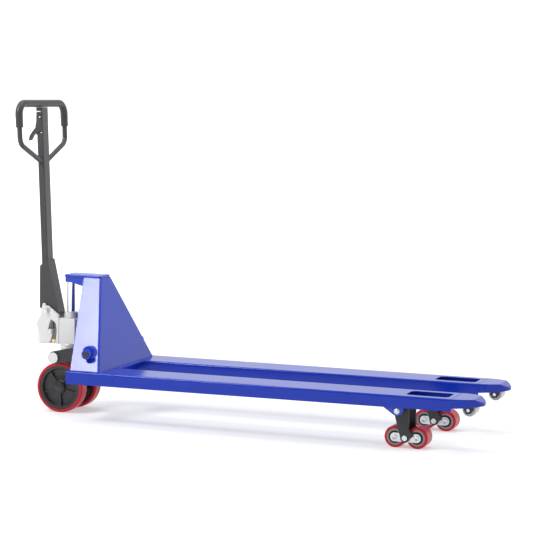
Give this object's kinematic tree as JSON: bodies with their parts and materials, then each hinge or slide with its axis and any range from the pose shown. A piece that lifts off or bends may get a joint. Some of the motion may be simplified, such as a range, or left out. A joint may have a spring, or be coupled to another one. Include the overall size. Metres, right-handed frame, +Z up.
{
  "type": "hand pallet truck",
  "caption": "Manual hydraulic pallet truck with long low forks, twin load rollers, a foot pump under a pivoting drawbar, and a looped steering handle.",
  "frame": {"origin": "on the floor below the middle of the truck's overall box, forks raised and wheels straight", "axes": "+X along the forks towards their tips, +Y to the left, +Z up"},
  "size_m": [1.944, 0.55, 1.2395],
  "materials": {
    "blue_paint": "gloss powder coat",
    "dark_paint": "satin powder coat",
    "black_steel": "semi-gloss black",
    "silver_casting": "silver sprayed casting",
    "chrome": "hard chromed and ground",
    "zinc_plate": "bright zinc plate",
    "brass": "turned",
    "red_tyre": "cast polyurethane",
    "black_core": "black satin",
    "grey_core": "turned grey",
    "nylon": "natural nylon",
    "grip_rubber": "moulded, matt"
  },
  "bodies": {
    "frame": {"right_fork": "blue_paint", "left_fork": "blue_paint", "right_fork_tip": "blue_paint", "left_fork_tip": "blue_paint", "heel_plate": "blue_paint", "cross_brace": "blue_paint", "lift_head": "blue_paint", "shaft_bosses": "blue_paint", "yoke_brackets": "blue_paint", "yoke_pins": "zinc_plate", "entry_roller_brackets": "black_steel", "entry_roller_axles": "zinc_plate", "piston_rod": "chrome"},
    "carrier": {"crosshead": "silver_casting", "trunnion_caps": "silver_casting", "thrust_bearing": "zinc_plate"},
    "pump_unit": {"pump_body": "silver_casting", "rod_gland": "silver_casting", "wheel_axle": "black_core", "handle_pivot_pin": "zinc_plate", "relief_valve": "brass", "plunger_spring": "zinc_plate"},
    "plunger": {"pump_plunger": "chrome"},
    "release_lever": {"release_lever": "silver_casting"},
    "drawbar": {"drawbar_yoke": "dark_paint", "drawbar_tube": "dark_paint", "handle_loop": "dark_paint", "handle_grip": "grip_rubber", "hand_lever_pin": "zinc_plate"},
    "hand_lever": {"hand_lever": "dark_paint"},
    "rocker": {"rocker_arms": "black_steel", "torsion_shaft": "black_steel", "push_levers": "black_steel", "push_lever_pins": "zinc_plate"},
    "right_steering_wheel": {"right_wheel_tyre": "red_tyre", "right_wheel_core": "black_core"},
    "left_steering_wheel": {"left_wheel_tyre": "red_tyre", "left_wheel_core": "black_core"},
    "right_push_rod": {"right_push_rod": "black_steel"},
    "right_yoke": {"right_roller_yoke": "black_steel", "right_rod_pin": "zinc_plate"},
    "right_bogie_pins": {"right_bogie_pins": "zinc_plate"},
    "right_bogie": {"right_bogie_links": "zinc_plate", "right_roller_axles": "zinc_plate"},
    "right_rear_roller": {"right_rear_roller_tyre": "red_tyre", "right_rear_roller_core": "grey_core"},
    "right_front_roller": {"right_front_roller_tyre": "red_tyre", "right_front_roller_core": "grey_core"},
    "right_entry_roller": {"right_entry_roller": "nylon"},
    "left_push_rod": {"left_push_rod": "black_steel"},
    "left_yoke": {"left_roller_yoke": "black_steel", "left_rod_pin": "zinc_plate"},
    "left_bogie_pins": {"left_bogie_pins": "zinc_plate"},
    "left_bogie": {"left_bogie_links": "zinc_plate", "left_roller_axles": "zinc_plate"},
    "left_rear_roller": {"left_rear_roller_tyre": "red_tyre", "left_rear_roller_core": "grey_core"},
    "left_front_roller": {"left_front_roller_tyre": "red_tyre", "left_front_roller_core": "grey_core"},
    "left_entry_roller": {"left_entry_roller": "nylon"}
  },
  "joints": [
    {"name": "lift", "type": "slide", "parent": "frame", "child": "carrier", "axis": [0, 0, 1], "range_m": [0, 0.115]},
    {"name": "steering", "type": "hinge", "parent": "carrier", "child": "pump_unit", "pos_m": [-0.784, 0, 0.22], "axis": [0, 0, 1], "range_deg": [-95, 95]},
    {"name": "drawbar_tilt", "type": "hinge", "parent": "pump_unit", "child": "drawbar", "pos_m": [-0.871, 0, 0.399], "axis": [0, -1, 0], "range_deg": [0, 75], "stiffness_Nm_per_rad": 45, "springref_deg": -6.88},
    {"name": "plunger_stroke", "type": "slide", "parent": "pump_unit", "child": "plunger", "axis": [0, 0, -1], "range_m": [0, 0.0202], "deforming": ["plunger_spring"]},
    {"name": "hand_lever_swing", "type": "hinge", "parent": "drawbar", "child": "hand_lever", "pos_m": [-0.915, 0, 1.171], "axis": [0, 1, 0], "range_deg": [0, 22], "stiffness_Nm_per_rad": 3},
    {"name": "release_swing", "type": "hinge", "parent": "pump_unit", "child": "release_lever", "pos_m": [-0.853, 0, 0.316], "axis": [0, 1, 0], "range_deg": [0, 11.5]},
    {"name": "right_wheel_spin", "type": "hinge", "parent": "pump_unit", "child": "right_steering_wheel", "pos_m": [-0.791, -0.0645, 0.1], "axis": [0, 1, 0], "continuous": true},
    {"name": "left_wheel_spin", "type": "hinge", "parent": "pump_unit", "child": "left_steering_wheel", "pos_m": [-0.791, 0.0645, 0.1], "axis": [0, 1, 0], "continuous": true},
    {"name": "rocker_tilt", "type": "hinge", "parent": "frame", "child": "rocker", "pos_m": [-0.596, 0, 0.265], "axis": [0, 1, 0], "range_deg": [0, 31.2]},
    {"name": "right_push", "type": "slide", "parent": "frame", "child": "right_push_rod", "axis": [-1, 0, 0], "range_m": [0, 0.0535]},
    {"name": "right_yoke_swing", "type": "hinge", "parent": "frame", "child": "right_yoke", "pos_m": [0.663, -0.195, 0.141], "axis": [0, -1, 0], "range_deg": [0, 84.6]},
    {"name": "right_bogie_level", "type": "hinge", "parent": "right_yoke", "child": "right_bogie_pins", "pos_m": [0.687, -0.195, 0.04], "axis": [0, 1, 0], "range_deg": [0, 84.6]},
    {"name": "right_bogie_tilt", "type": "hinge", "parent": "right_bogie_pins", "child": "right_bogie", "pos_m": [0.687, -0.195, 0.04], "axis": [0, 1, 0], "range_deg": [-12, 12]},
    {"name": "right_rear_roller_spin", "type": "hinge", "parent": "right_bogie", "child": "right_rear_roller", "pos_m": [0.645, -0.195, 0.04], "axis": [0, 1, 0], "continuous": true},
    {"name": "right_front_roller_spin", "type": "hinge", "parent": "right_bogie", "child": "right_front_roller", "pos_m": [0.729, -0.195, 0.04], "axis": [0, 1, 0], "continuous": true},
    {"name": "right_entry_roller_spin", "type": "hinge", "parent": "frame", "child": "right_entry_roller", "pos_m": [0.919, -0.195, 0.158], "axis": [0, 1, 0], "continuous": true},
    {"name": "left_push", "type": "slide", "parent": "frame", "child": "left_push_rod", "axis": [-1, 0, 0], "range_m": [0, 0.0535]},
    {"name": "left_yoke_swing", "type": "hinge", "parent": "frame", "child": "left_yoke", "pos_m": [0.663, 0.195, 0.141], "axis": [0, -1, 0], "range_deg": [0, 84.6]},
    {"name": "left_bogie_level", "type": "hinge", "parent": "left_yoke", "child": "left_bogie_pins", "pos_m": [0.687, 0.195, 0.04], "axis": [0, 1, 0], "range_deg": [0, 84.6]},
    {"name": "left_bogie_tilt", "type": "hinge", "parent": "left_bogie_pins", "child": "left_bogie", "pos_m": [0.687, 0.195, 0.04], "axis": [0, 1, 0], "range_deg": [-12, 12]},
    {"name": "left_rear_roller_spin", "type": "hinge", "parent": "left_bogie", "child": "left_rear_roller", "pos_m": [0.645, 0.195, 0.04], "axis": [0, 1, 0], "continuous": true},
    {"name": "left_front_roller_spin", "type": "hinge", "parent": "left_bogie", "child": "left_front_roller", "pos_m": [0.729, 0.195, 0.04], "axis": [0, 1, 0], "continuous": true},
    {"name": "left_entry_roller_spin", "type": "hinge", "parent": "frame", "child": "left_entry_roller", "pos_m": [0.919, 0.195, 0.158], "axis": [0, 1, 0], "continuous": true}
  ],
  "couplings": [
    {"joint": "plunger_stroke", "follows": "drawbar_tilt", "m_per_rad": 0.01528},
    {"joint": "release_swing", "follows": "hand_lever_swing", "ratio": 0.5},
    {"joint": "rocker_tilt", "follows": "lift", "rad_per_m": 4.6889},
    {"joint": "right_push", "follows": "lift", "ratio": 0.46322},
    {"joint": "right_yoke_swing", "follows": "lift", "rad_per_m": 12.794},
    {"joint": "right_bogie_level", "follows": "lift", "rad_per_m": 12.794},
    {"joint": "left_push", "follows": "lift", "ratio": 0.46322},
    {"joint": "left_yoke_swing", "follows": "lift", "rad_per_m": 12.794},
    {"joint": "left_bogie_level", "follows": "lift", "rad_per_m": 12.794}
  ]
}
